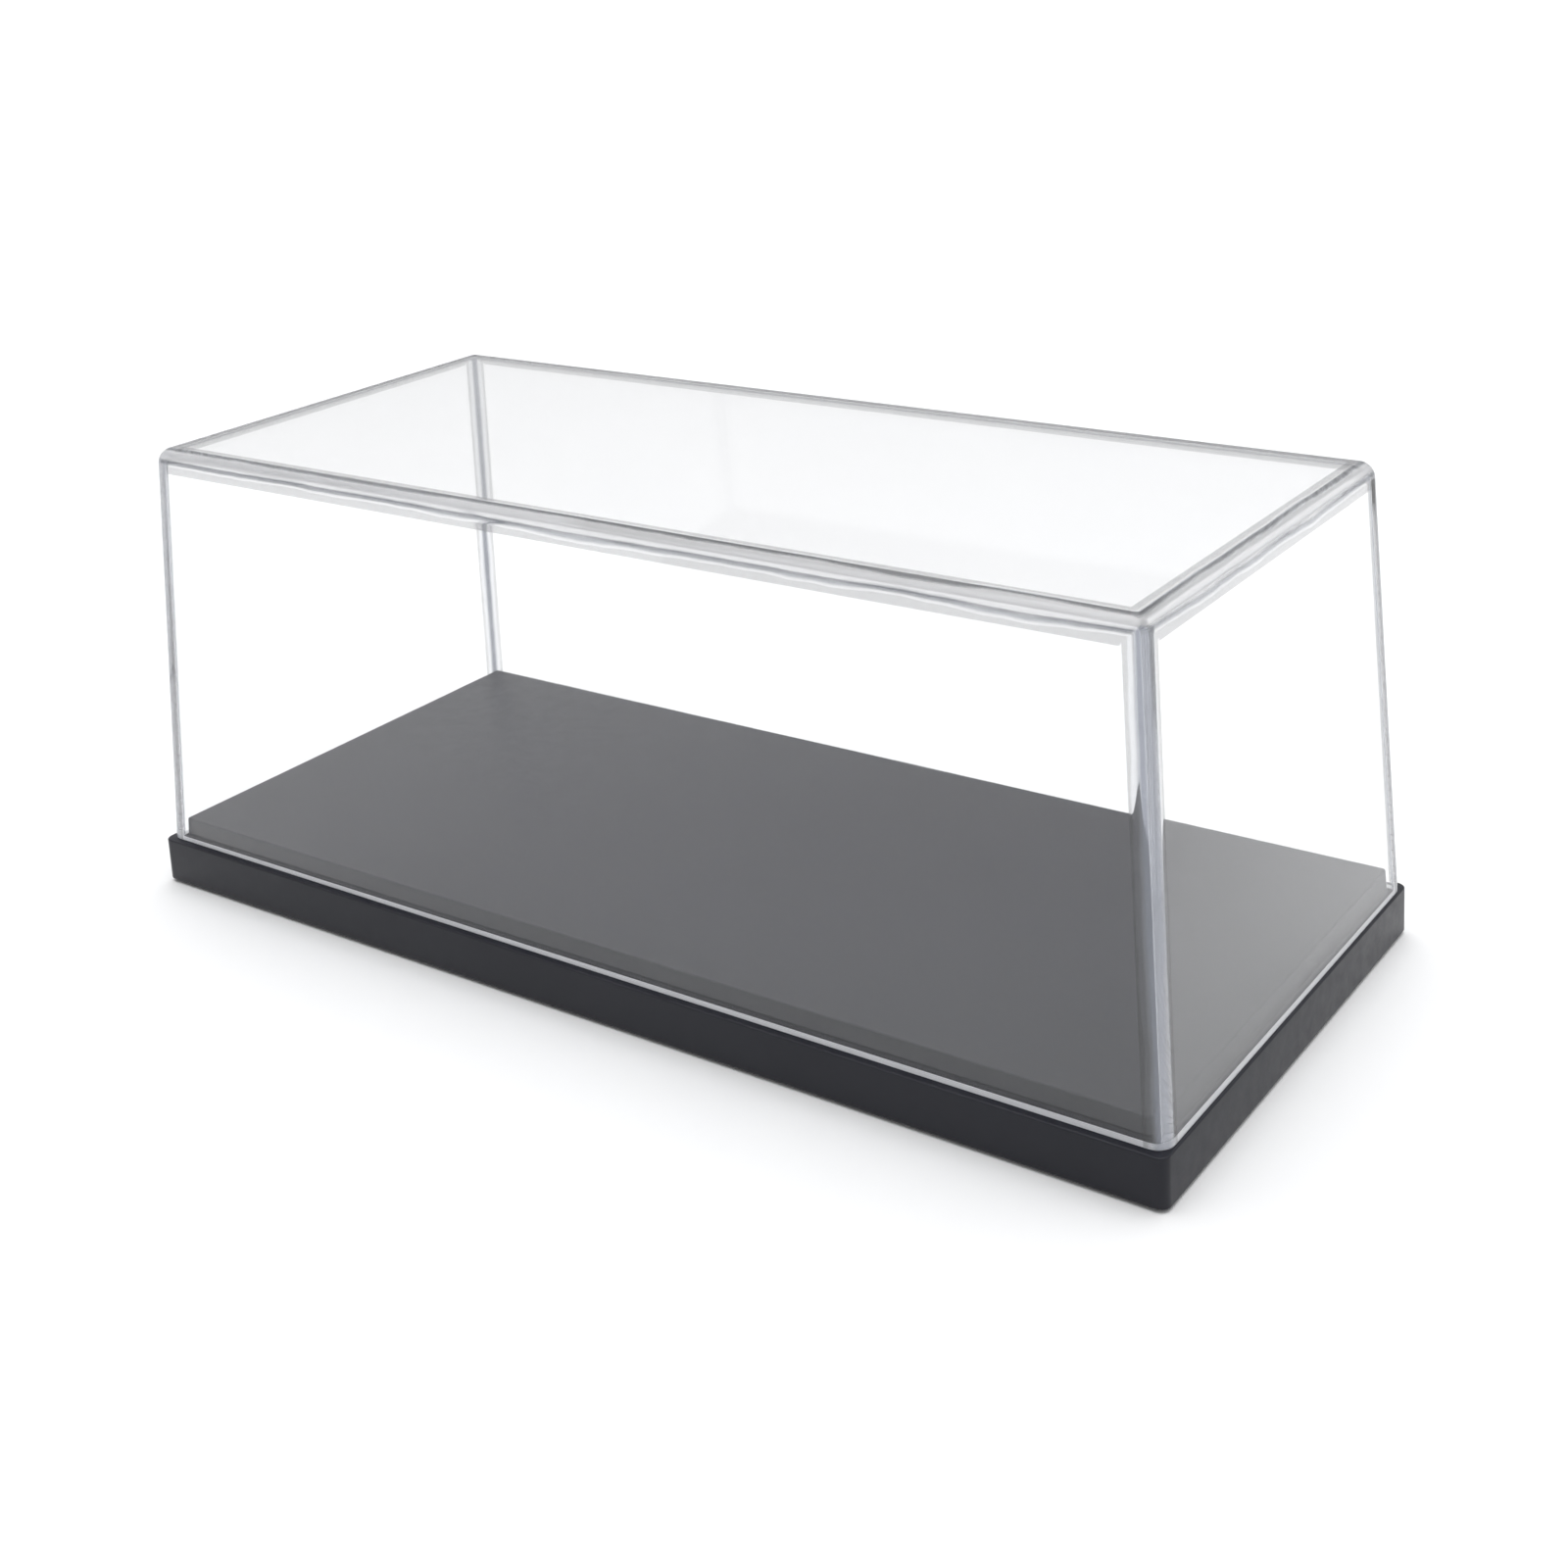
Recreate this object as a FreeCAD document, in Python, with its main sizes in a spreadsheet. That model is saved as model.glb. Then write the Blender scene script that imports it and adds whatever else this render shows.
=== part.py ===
import FreeCAD, Part
import math
import os
import Sketcher

# Display case: a clear one-piece moulded cover that drops over the raised deck of a black
# moulded plinth and rests on the plinth's flange. Four stick-on rubber feet carry the plinth.
#
# Frame: millimetres, +X along the length, +Z up, origin on the table under the middle of the
# case. The cover lifts straight off along +Z; nothing latches or hinges it.

# Driving dimensions: alias, value and meaning. Angles are in degrees, the rest in millimetres.
DRIVING_DIMENSIONS = (
    ("case_length", 245.0, "plinth length along X at its bottom edge"),
    ("case_width", 113.0, "plinth width along Y at its bottom edge"),
    ("case_height", 99.0, "table to the cover's top face"),
    ("foot_stand", 0.7, "gap that the feet leave under the plinth"),
    ("rim_height", 9.8, "plinth bottom edge to the flange that the cover rests on"),
    ("rim_end_inset", 0.6, "draft of the plinth's end faces over the rim's height"),
    ("rim_side_inset", 0.2, "draft of the plinth's long faces over the rim's height"),
    ("rim_corner", 2.0, "plan radius of the plinth's corners"),
    ("rim_edge", 0.3, "radius of the flange's outer edge"),
    ("deck_rise", 4.7, "raised deck above the flange"),
    ("deck_corner", 0.8, "plan radius of the deck's corners"),
    ("deck_edge", 0.4, "radius of the deck's top edge"),
    ("plinth_wall", 2.0, "wall thickness of the plinth moulding"),
    ("rib_thickness", 1.4, "stiffening ribs under the plinth"),
    ("rib_recess", 1.0, "rib edges above the plinth's bottom edge"),
    ("rib_pitch", 48.2, "spacing of the cross ribs"),
    ("wall_bite", 0.5, "overlap of ribs and bosses with the walls they join"),
    ("foot_diameter", 9.0, "rubber foot"),
    ("foot_thickness", 1.5, "rubber foot"),
    ("foot_round", 0.4, "radius of the foot's lower edge"),
    ("foot_seat", 9.4, "diameter of the shallow seat that a foot is stuck into"),
    ("foot_boss", 12.0, "diameter of the boss that carries a foot seat"),
    ("foot_offset", 13.0, "foot centre in from the plinth's ends and sides"),
    ("cover_end_inset", 1.1, "cover's end walls in from the plinth's bottom edge"),
    ("cover_side_inset", 1.7, "cover's long walls in from the plinth's bottom edge"),
    ("cover_wall", 2.6, "cover wall thickness"),
    ("end_gap", 1.2, "clearance between the cover's end walls and the deck"),
    ("side_gap", 0.3, "clearance between the cover's long walls and the deck"),
    ("cover_round", 3.3, "outer radius of the cover's upright and top edges"),
    ("end_lean", 5.9, "lean of the cover's end walls from upright"),
    ("side_lean", 3.7, "lean of the cover's long walls from upright"),
)

CROSS_RIBS = 4

# Heights and insets that several pieces share, written once as sheet formulas.
PLINTH_BOTTOM = "Dims.foot_stand"
FLANGE_TOP = "(Dims.foot_stand + Dims.rim_height)"
FLANGE_UNDERSIDE = f"({FLANGE_TOP} - Dims.plinth_wall)"
DECK_TOP = f"({FLANGE_TOP} + Dims.deck_rise)"
DECK_UNDERSIDE = f"({DECK_TOP} - Dims.plinth_wall)"
RIB_BOTTOM = "(Dims.foot_stand + Dims.rib_recess)"
DECK_END_INSET = "(Dims.cover_end_inset + Dims.cover_wall + Dims.end_gap)"
DECK_SIDE_INSET = "(Dims.cover_side_inset + Dims.cover_wall + Dims.side_gap)"
RIM_SIDE_LEAN = "atan(Dims.rim_side_inset / Dims.rim_height)"
RIM_LEANS = {"Ends": "atan(Dims.rim_end_inset / Dims.rim_height)", "Sides": RIM_SIDE_LEAN}

doc = FreeCAD.newDocument("display_case")
sheet = doc.addObject("Spreadsheet::Sheet", "Dims")


def fill_sheet():
    """Put each driving dimension in the sheet: meaning, plain number and alias."""
    for row, (alias, value, meaning) in enumerate(DRIVING_DIMENSIONS, start=1):
        sheet.set(f"A{row}", meaning)
        sheet.set(f"B{row}", str(value))
        sheet.setAlias(f"B{row}", alias)
    doc.recompute()


def new_body(label):
    """An empty body whose label names its file."""
    body = doc.addObject("PartDesign::Body", label)
    body.Label = label
    return body


def origin_feature(body, role):
    """The body's own origin plane or axis with this role."""
    return next(item for item in body.Origin.OriginFeatures if item.Role == role)


def level_sketch(body, name, height):
    """An empty sketch, parallel to the ground at a height given as a formula."""
    sketch = body.newObject("Sketcher::SketchObject", name)
    sketch.AttachmentSupport = (origin_feature(body, "XY_Plane"), [""])
    sketch.MapMode = "FlatFace"
    sketch.setExpression("AttachmentOffset.Base.z", height)
    return sketch


def size_constraint(sketch, constraint, name, formula):
    """Add a dimension and bind it to a formula."""
    index = sketch.addConstraint(constraint)
    sketch.renameConstraint(index, name)
    sketch.setExpression(f"Constraints.{name}", formula)


def rectangle(body, name, height, length, width):
    """A level sketch of one rectangle centred on the Z axis."""
    sketch = level_sketch(body, name, height)
    half_x, half_y = 20.0, 10.0
    corners = [FreeCAD.Vector(sx * half_x, sy * half_y, 0)
               for sx, sy in ((-1, -1), (1, -1), (1, 1), (-1, 1))]
    for side in range(4):
        sketch.addGeometry(Part.LineSegment(corners[side], corners[(side + 1) % 4]), False)
    for side in range(4):
        sketch.addConstraint(Sketcher.Constraint("Coincident", side, 2, (side + 1) % 4, 1))
    for side in (0, 2):
        sketch.addConstraint(Sketcher.Constraint("Horizontal", side))
        sketch.addConstraint(Sketcher.Constraint("Vertical", side + 1))
    sketch.addConstraint(Sketcher.Constraint("Symmetric", 0, 1, 2, 1, -1, 1))
    size_constraint(sketch, Sketcher.Constraint("DistanceX", 0, 1, 0, 2, 2 * half_x), "length", length)
    size_constraint(sketch, Sketcher.Constraint("DistanceY", 1, 1, 1, 2, 2 * half_y), "width", width)
    return sketch


def inset_rectangle(body, name, height, end_inset, side_inset):
    """A level rectangle, this far inside the plinth's bottom outline."""
    return rectangle(body, name, height,
                     f"Dims.case_length - 2 * ({end_inset})",
                     f"Dims.case_width - 2 * ({side_inset})")


def foot_circles(body, name, height, diameter):
    """A level sketch with one circle over each of the four feet."""
    sketch = level_sketch(body, name, height)
    doc.recompute()
    for index, (sx, sy) in enumerate(FOOT_SIDES.values()):
        centre = FreeCAD.Vector(sx * 100.0, sy * 40.0, 0)
        sketch.addGeometry(Part.Circle(centre, FreeCAD.Vector(0, 0, 1), 5.0), False)
        size_constraint(sketch, Sketcher.Constraint("DistanceX", -1, 1, index, 3, centre.x),
                        f"centre_x{index}", f"{sx} * (Dims.case_length / 2 - Dims.foot_offset)")
        size_constraint(sketch, Sketcher.Constraint("DistanceY", -1, 1, index, 3, centre.y),
                        f"centre_y{index}", f"{sy} * (Dims.case_width / 2 - Dims.foot_offset)")
        size_constraint(sketch, Sketcher.Constraint("Diameter", index, 10.0),
                        f"diameter{index}", diameter)
    return sketch


def pad(body, name, sketch, height):
    """Raise a level sketch by a height given as a formula."""
    feature = body.newObject("PartDesign::Pad", name)
    feature.Profile = sketch
    feature.setExpression("Length", height)
    doc.recompute()
    return feature


def lean_walls(body, name, base, hinge_level, wanted, angle):
    """Lean the walls that the test wants inward by an angle, hinged at a level."""
    walls = [f"Face{i}" for i, face in enumerate(base.Shape.Faces, start=1) if wanted(face)]
    level = body.newObject("PartDesign::Plane", name + "Level")
    level.AttachmentSupport = (origin_feature(body, "XY_Plane"), [""])
    level.MapMode = "FlatFace"
    level.setExpression("AttachmentOffset.Base.z", hinge_level)
    feature = body.newObject("PartDesign::Draft", name)
    feature.Base = (base, walls)
    feature.NeutralPlane = (level, [""])
    feature.PullDirection = (origin_feature(body, "Z_Axis"), [""])
    feature.setExpression("Angle", angle)
    doc.recompute()
    return feature


def round_edges(body, name, base, wanted, radius):
    """Fillet every edge of the base feature that the test wants."""
    names = [f"Edge{i}" for i, edge in enumerate(base.Shape.Edges, start=1) if wanted(edge)]
    feature = body.newObject("PartDesign::Fillet", name)
    feature.Base = (base, names)
    feature.setExpression("Radius", radius)
    doc.recompute()
    return feature


def hollow_up(body, name, sketch, depth, taper="0"):
    """Cut a level sketch upward into the solid above it, narrowing by the taper angle."""
    before = body.Shape.Volume
    feature = body.newObject("PartDesign::Pocket", name)
    feature.Profile = sketch
    feature.Reversed = True
    feature.setExpression("Length", depth)
    feature.setExpression("TaperAngle", taper)
    doc.recompute()
    if feature.Shape.Volume > before - 1.0:
        raise RuntimeError(f"{name} cut nothing")
    return feature


def faces_along(axis, floor):
    """A test for the walls above a floor level that face along X or Y (axis 0 or 1)."""
    def wanted(face):
        return abs(face.normalAt(0, 0)[axis]) > 0.9 and face.CenterOfMass.z > floor
    return wanted


def is_level_at(edge, height):
    """True for an edge that lies wholly at this height."""
    return all(abs(vertex.Z - height) < 0.01 for vertex in edge.Vertexes)


def is_upright_between(edge, low, high):
    """True for an edge that runs from one of these heights to the other."""
    levels = sorted(vertex.Z for vertex in edge.Vertexes)
    return len(levels) == 2 and abs(levels[0] - low) < 0.01 and abs(levels[1] - high) < 0.01


def make_plinth():
    """Black moulded plinth: drafted rim, flange, raised deck, ribbed hollow underside."""
    body = new_body("base_plinth")
    bottom = sheet.foot_stand
    flange = bottom + sheet.rim_height
    deck = flange + sheet.deck_rise

    rim = pad(body, "Rim", inset_rectangle(body, "RimOutline", PLINTH_BOTTOM, "0", "0"),
              "Dims.rim_height")
    for axis, (side, lean) in enumerate(RIM_LEANS.items()):
        rim = lean_walls(body, f"Rim{side}", rim, PLINTH_BOTTOM, faces_along(axis, 0.0), lean)
    pad(body, "Deck", inset_rectangle(body, "DeckOutline", FLANGE_TOP, DECK_END_INSET, DECK_SIDE_INSET),
        "Dims.deck_rise")
    raised = lean_walls(body, "DeckEnds", body.Tip, FLANGE_TOP, faces_along(0, flange), "Dims.end_lean")
    raised = lean_walls(body, "DeckSides", raised, FLANGE_TOP, faces_along(1, flange), "Dims.side_lean")

    corners = round_edges(body, "RimCorners", raised,
                          lambda edge: is_upright_between(edge, bottom, flange), "Dims.rim_corner")
    corners = round_edges(body, "DeckCorners", corners,
                          lambda edge: is_upright_between(edge, flange, deck), "Dims.deck_corner")
    edges = round_edges(body, "DeckEdge", corners,
                        lambda edge: is_level_at(edge, deck), "Dims.deck_edge")
    reach = sheet.case_length / 2 - sheet.rim_end_inset
    half_width = sheet.case_width / 2 - sheet.rim_side_inset

    def on_rim(edge):
        middle = edge.CenterOfMass
        outside = abs(middle.x) > reach - sheet.rim_corner or abs(middle.y) > half_width - sheet.rim_corner
        return is_level_at(edge, flange) and outside

    round_edges(body, "RimEdge", edges, on_rim, "Dims.rim_edge")

    hollow_up(body, "RimHollow",
              inset_rectangle(body, "RimHollowMouth", PLINTH_BOTTOM, "Dims.plinth_wall", "Dims.plinth_wall"),
              "Dims.rim_height - Dims.plinth_wall", RIM_SIDE_LEAN)
    hollow_up(body, "DeckHollow",
              inset_rectangle(body, "DeckHollowMouth", FLANGE_UNDERSIDE,
                              f"{DECK_END_INSET} + Dims.plinth_wall", f"{DECK_SIDE_INSET} + Dims.plinth_wall"),
              "Dims.deck_rise", "Dims.side_lean")

    # Ribs are stepped: wide between the rim's walls, narrower where they enter the deck's hollow.
    low_reach = "2 * (Dims.plinth_wall - Dims.wall_bite)"
    spine_reach = f"2 * ({DECK_END_INSET} + Dims.plinth_wall - Dims.wall_bite)"
    cross_reach = f"2 * ({DECK_SIDE_INSET} + Dims.plinth_wall - Dims.wall_bite)"
    low_height = f"{FLANGE_UNDERSIDE} + Dims.wall_bite - {RIB_BOTTOM}"
    high_height = f"{DECK_UNDERSIDE} + Dims.wall_bite - {FLANGE_UNDERSIDE}"
    pad(body, "SpineLow",
        rectangle(body, "SpineLowOutline", RIB_BOTTOM,
                  f"Dims.case_length - {low_reach}", "Dims.rib_thickness"), low_height)
    pad(body, "SpineHigh",
        rectangle(body, "SpineHighOutline", FLANGE_UNDERSIDE,
                  f"Dims.case_length - {spine_reach}", "Dims.rib_thickness"), high_height)
    first_rib = f"-{(CROSS_RIBS - 1) / 2} * Dims.rib_pitch"
    rib_low = rectangle(body, "CrossRibLowOutline", RIB_BOTTOM,
                        "Dims.rib_thickness", f"Dims.case_width - {low_reach}")
    rib_high = rectangle(body, "CrossRibHighOutline", FLANGE_UNDERSIDE,
                         "Dims.rib_thickness", f"Dims.case_width - {cross_reach}")
    for outline in (rib_low, rib_high):
        outline.setExpression("AttachmentOffset.Base.x", first_rib)
    originals = [pad(body, "CrossRibLow", rib_low, low_height),
                 pad(body, "CrossRibHigh", rib_high, high_height)]
    before = body.Shape.Volume
    pattern = body.newObject("PartDesign::LinearPattern", "CrossRibs")
    pattern.Originals = originals
    pattern.Direction = (origin_feature(body, "X_Axis"), [""])
    pattern.Occurrences = CROSS_RIBS
    pattern.setExpression("Length", f"{CROSS_RIBS - 1} * Dims.rib_pitch")
    body.Tip = pattern
    doc.recompute()
    if body.Shape.Volume < before + 100.0:
        raise RuntimeError("the cross ribs were not repeated")

    bossed = pad(body, "FootBosses",
                 foot_circles(body, "FootBossCircles", PLINTH_BOTTOM, "Dims.foot_boss"),
                 f"{DECK_UNDERSIDE} + Dims.wall_bite - {PLINTH_BOTTOM}")
    before = bossed.Shape.Volume
    seats = hollow_up(body, "FootSeats",
                      foot_circles(body, "FootSeatCircles", PLINTH_BOTTOM, "Dims.foot_seat"),
                      "Dims.foot_thickness - Dims.foot_stand")
    seat_depth = sheet.foot_thickness - sheet.foot_stand
    wanted = 4 * math.pi * (sheet.foot_seat / 2) ** 2 * seat_depth
    if abs(before - seats.Shape.Volume - wanted) > 0.01 * wanted:
        raise RuntimeError("the foot seats were not cut")
    return body


def make_cover():
    """Clear moulded cover: four leaning walls and a flat top, one wall thickness, open below."""
    body = new_body("clear_cover")
    foot_level = sheet.foot_stand + sheet.rim_height
    block = pad(body, "Block",
                inset_rectangle(body, "CoverOutline", FLANGE_TOP,
                                "Dims.cover_end_inset", "Dims.cover_side_inset"),
                f"Dims.case_height - {FLANGE_TOP}")
    block = lean_walls(body, "EndWalls", block, FLANGE_TOP, faces_along(0, 0.0), "Dims.end_lean")
    block = lean_walls(body, "LongWalls", block, FLANGE_TOP, faces_along(1, 0.0), "Dims.side_lean")
    rounded = round_edges(body, "RoundedEdges", block,
                          lambda edge: not is_level_at(edge, foot_level), "Dims.cover_round")
    mouth = [f"Face{i}" for i, face in enumerate(rounded.Shape.Faces, start=1)
             if abs(face.CenterOfMass.z - foot_level) < 0.01]
    shell = body.newObject("PartDesign::Thickness", "Shell")
    shell.Base = (rounded, mouth)
    shell.setExpression("Value", "Dims.cover_wall")
    shell.Reversed = True
    doc.recompute()
    if shell.Shape.Volume > 0.3 * rounded.Shape.Volume:
        raise RuntimeError("the cover was not hollowed")
    return body


def make_foot(label, sx, sy):
    """One stick-on rubber foot: a low disc with a rounded lower edge."""
    body = new_body(label)
    outline = level_sketch(body, label + "_outline", "0")
    outline.addGeometry(Part.Circle(FreeCAD.Vector(0, 0, 0), FreeCAD.Vector(0, 0, 1), 5.0), False)
    outline.addConstraint(Sketcher.Constraint("Coincident", 0, 3, -1, 1))
    size_constraint(outline, Sketcher.Constraint("Diameter", 0, 10.0), "diameter", "Dims.foot_diameter")
    disc = pad(body, label + "_disc", outline, "Dims.foot_thickness")
    round_edges(body, label + "_round", disc, lambda edge: is_level_at(edge, 0.0), "Dims.foot_round")
    body.setExpression("Placement.Base.x", f"{sx} * (Dims.case_length / 2 - Dims.foot_offset)")
    body.setExpression("Placement.Base.y", f"{sy} * (Dims.case_width / 2 - Dims.foot_offset)")
    return body


# Which way each foot stands from the middle, along X and Y.
FOOT_SIDES = {
    "foot_front_left": (-1, -1),
    "foot_front_right": (1, -1),
    "foot_back_left": (-1, 1),
    "foot_back_right": (1, 1),
}


def check_and_export(bodies):
    """Refuse a failed feature or a bad solid, then write one STEP file per body."""
    doc.recompute()
    for item in doc.Objects:
        if {"Invalid", "Error"} & set(item.State):
            raise RuntimeError(f"{item.Name} failed: {item.State}")
    for body in bodies:
        shape = body.Shape
        if shape.isNull() or not shape.isValid() or len(shape.Solids) != 1:
            raise RuntimeError(f"{body.Label} is not one valid solid")
    os.makedirs("parts", exist_ok=True)
    for body in bodies:
        body.Shape.exportStep(f"parts/{body.Label}.step")
        box = body.Shape.optimalBoundingBox(False)
        print(f"{body.Label}: {box.XLength:.2f} x {box.YLength:.2f} x {box.ZLength:.2f} mm, "
              f"z {box.ZMin:.2f} to {box.ZMax:.2f}, {body.Shape.Volume / 1000:.2f} cm3")


fill_sheet()
case_bodies = [make_plinth(), make_cover()]
case_bodies += [make_foot(label, sx, sy) for label, (sx, sy) in FOOT_SIDES.items()]
check_and_export(case_bodies)
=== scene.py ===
import math

import bmesh
import bpy
from mathutils import Matrix, Vector, noise


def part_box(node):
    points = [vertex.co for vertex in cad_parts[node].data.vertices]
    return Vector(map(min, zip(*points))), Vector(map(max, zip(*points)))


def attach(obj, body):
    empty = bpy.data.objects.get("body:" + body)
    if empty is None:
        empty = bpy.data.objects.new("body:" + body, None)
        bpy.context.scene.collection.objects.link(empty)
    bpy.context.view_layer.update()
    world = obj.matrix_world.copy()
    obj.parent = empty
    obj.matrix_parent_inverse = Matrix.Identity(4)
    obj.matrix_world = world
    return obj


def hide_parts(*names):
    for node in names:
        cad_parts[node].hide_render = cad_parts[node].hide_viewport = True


# Looks for the display case: a clear moulded cover over a black plinth on four rubber feet.
# Metres throughout, in the CAD frame: +X along the case, +Z up, table at zero.

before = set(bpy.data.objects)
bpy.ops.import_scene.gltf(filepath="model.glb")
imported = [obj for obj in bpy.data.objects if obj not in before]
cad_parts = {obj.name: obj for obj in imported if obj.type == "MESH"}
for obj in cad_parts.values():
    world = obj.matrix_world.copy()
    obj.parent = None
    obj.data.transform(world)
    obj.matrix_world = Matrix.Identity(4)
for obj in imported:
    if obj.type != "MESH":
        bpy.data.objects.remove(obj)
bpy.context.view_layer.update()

MM = 0.001

# ---------------------------------------------------------------- sizes of the mouldings

cover_low, cover_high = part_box("clear_cover")
plinth_low, plinth_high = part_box("base_plinth")

FLANGE_Z = cover_low.z
DECK_Z = plinth_high.z
PLINTH_Z = plinth_low.z

END_LEAN = math.radians(5.9)
SIDE_LEAN = math.radians(3.7)
COVER_ROUND = 3.3 * MM
COVER_WALL = 2.6 * MM
INNER_ROUND = 0.7 * MM
LIP_ROUND = 0.22 * MM
LIP_LIFT = 0.04 * MM

RIM_END_INSET = 0.6 * MM
RIM_SIDE_INSET = 0.2 * MM
RIM_CORNER = 2.0 * MM
RIM_EDGE = 0.3 * MM
END_GAP = 1.2 * MM
SIDE_GAP = 0.3 * MM
DECK_CORNER = 0.8 * MM
DECK_EDGE = 0.4 * MM
DECK_ROOT = 0.3 * MM
PLINTH_WALL = 2.0 * MM
RIB_THICKNESS = 1.4 * MM
RIB_RECESS = 1.0 * MM
RIB_PITCH = 48.2 * MM
FOOT_SEAT = 9.4 * MM
FOOT_BOSS = 12.0 * MM
FOOT_ROUND = 0.4 * MM
FOOT_EASE = 0.12 * MM
CROSS_RIBS = 4

# ---------------------------------------------------------------- finish and light levels

GRAIN_PITCH = 2600.0
GRAIN_SPREAD = 0.015
DUST_COLOUR = (0.42, 0.41, 0.39, 1)
DUST_COVER = 0.55
DUST_ROUGH = 0.8
WEAR_SPREAD = (-0.02, 0.03)
ROUGH_SPREAD = 0.04
BLACK_LOW = (0.0075, 0.0080, 0.0135, 1)
BLACK_HIGH = (0.0100, 0.0105, 0.0165, 1)
BLACK_ROUGH = 0.36
BLACK_IOR = 1.37
RUBBER_LOW = (0.016, 0.016, 0.017, 1)
RUBBER_HIGH = (0.030, 0.030, 0.031, 1)
RUBBER_ROUGH_LOW = 0.78
RUBBER_ROUGH_HIGH = 0.95
CLEAR_LOW = (0.994, 0.996, 0.999, 1)
CLEAR_HIGH = (0.998, 0.999, 1.0, 1)
CLEAR_SHADOW = (0.95, 0.96, 0.97, 1)
CLEAR_IOR = 1.46
CLEAR_ROUGH_LOW = 0.012
CLEAR_ROUGH_HIGH = 0.035
HAIRLINE_TURN = (0.3, 0.2, 0.9)
HAIRLINE_STRETCH = (30.0, 1800.0, 1800.0)
HAIRLINE_CUT = (0.74, 0.80)
HAIRLINE_ROUGH = 0.02
# Painted light on the clear cover's rounded edges: these greys stand in for light bent, reflected and
# guided through the plastic. They are a painted pale crest, painted dark lines on top edges, a painted
# darker crest on upright edges and a painted grey strip beside each edge.
PAINTED_EDGE_LIGHT = (0.80, 0.80, 0.805, 1)
PAINTED_UPRIGHT_LIGHT = (0.62, 0.63, 0.65, 1)
PAINTED_UPRIGHT_CREST_SHADE = (0.42, 0.44, 0.49, 1)
PAINTED_STRIP_GREY = (0.42, 0.42, 0.425, 1)
PAINTED_EDGE_DARK_LINE = (0.24, 0.25, 0.27, 1)
# Edges are made partly opaque, so the painted greys show whatever lies behind them.
EDGE_CLARITY = 0.95
CREST_CLARITY = 0.66
LIP_CLARITY = 0.5
LIP_ROUGH = 0.4
# Painted glow on the lower lip: white painted on the lip's face, partly opaque, stands in for light
# guided down the wall and scattered out of the lip.
PAINTED_LIP_GLOW = (0.76, 0.76, 0.78, 1)
EDGE_ROUGH_LOW = 0.02
EDGE_ROUGH_HIGH = 0.05
LIP_SHARE = 3.0

# Places across a moulded edge for its painted bands: 0 is its crest, 1 is where the flat begins.
EDGE_WANDER = 0.15
EDGE_LINE_PLACE = 0.75
EDGE_LINE_FADE = (0.08, 0.30)
UPRIGHT_FADE = (0.45, 0.80)
CREST_FADE = (0.40, 0.80)
STRIP_FADE = (1.0, 1.1)

FLOOR_LOW = (0.90, 0.90, 0.90, 1)
FLOOR_HIGH = (0.91, 0.91, 0.91, 1)
FLOOR_ROUGH = 0.9
FLOOR_IOR = 1.2
FLOOR_REACH = 14.0
SKY_BRIGHT = 0.62
SKY_DIM = 0.45
SKY_COLOUR = (0.985, 0.99, 1.0, 1)
DIM_SIDE = (0.42, -0.88, 0.22)
DIM_RANGE = (-0.1, 0.9)
COVE_HEIGHT = 0.16
COVE_GLOW = 0.56
OVERHEAD = (-0.066, 0.132, 0.989)
OVERHEAD_GLOW = 1.62
OVERHEAD_RANGE = (0.60, 0.97)
KEY_PLACE = (-0.1, 0.2, 1.5)
KEY_STRENGTH = 0.5
KEY_SPREAD = math.radians(50)
LIGHT_BOUNCES = 64

CAMERA_PLACE = (0.237751, -0.316470, 0.205758)
CAMERA_AHEAD = (-0.534031, 0.739393, -0.410011)
CAMERA_RIGHT = (0.821564, 0.568324, -0.045184)
CAMERA_LENS = 47.630
SENSOR_WIDTH = 36.0


# ---------------------------------------------------------------- mesh helpers

def new_object(name, bm, material, smooth_angle=None):
    """Turn a bmesh into a smooth-shaded object with one material."""
    mesh = bpy.data.meshes.new(name)
    bm.to_mesh(mesh)
    bm.free()
    mesh.materials.append(material)
    for polygon in mesh.polygons:
        polygon.use_smooth = True
    piece = bpy.data.objects.new(name, mesh)
    bpy.context.scene.collection.objects.link(piece)
    if smooth_angle is not None:
        mesh.set_sharp_from_angle(angle=math.radians(smooth_angle))
    return piece


def flat_stations(low, high, step, margins):
    """Positions from low to high, close together near both ends and a step apart between."""
    ends = [low + margin for margin in margins] + [high - margin for margin in margins]
    inner_low, inner_high = low + margins[-1], high - margins[-1]
    count = max(2, round((inner_high - inner_low) / step))
    middle = [inner_low + (inner_high - inner_low) * i / count for i in range(1, count)]
    return sorted([low, high] + ends + middle)


# ---------------------------------------------------------------- clear cover

ARC_STEPS = 8
RIPPLE_BROAD = 38 * MM
RIPPLE_FINE = 9 * MM
RIPPLE_WALL = 0.005 * MM
RIPPLE_EDGE = 0.040 * MM
RIPPLE_START = 1.5 * MM
RIPPLE_FADE = 6 * MM
# Vertex layers that place the painted edge bands and the painted lip glow, and the rougher edges and
# lip.
EDGE_LAYER = "moulded_edge"
TURN_LAYER = "edge_turn"
UPRIGHT_LAYER = "edge_upright"
EDGE_LAYERS = (EDGE_LAYER, TURN_LAYER, UPRIGHT_LAYER)
# How many stations of the flat beside an edge also carry the painted grey strip, on upright and top
# edges.
PAINTED_STRIP_UPRIGHT = 2
PAINTED_STRIP_TOP = 4
FLAT_STEP = 3.0 * MM
FLAT_MARGINS = [0.3 * MM, 0.8 * MM, 0.95 * MM, 1.5 * MM, 1.65 * MM, 2.6 * MM]
ARC_ANGLES = [math.radians(45) * i / ARC_STEPS for i in range(1, ARC_STEPS + 1)]

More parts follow.
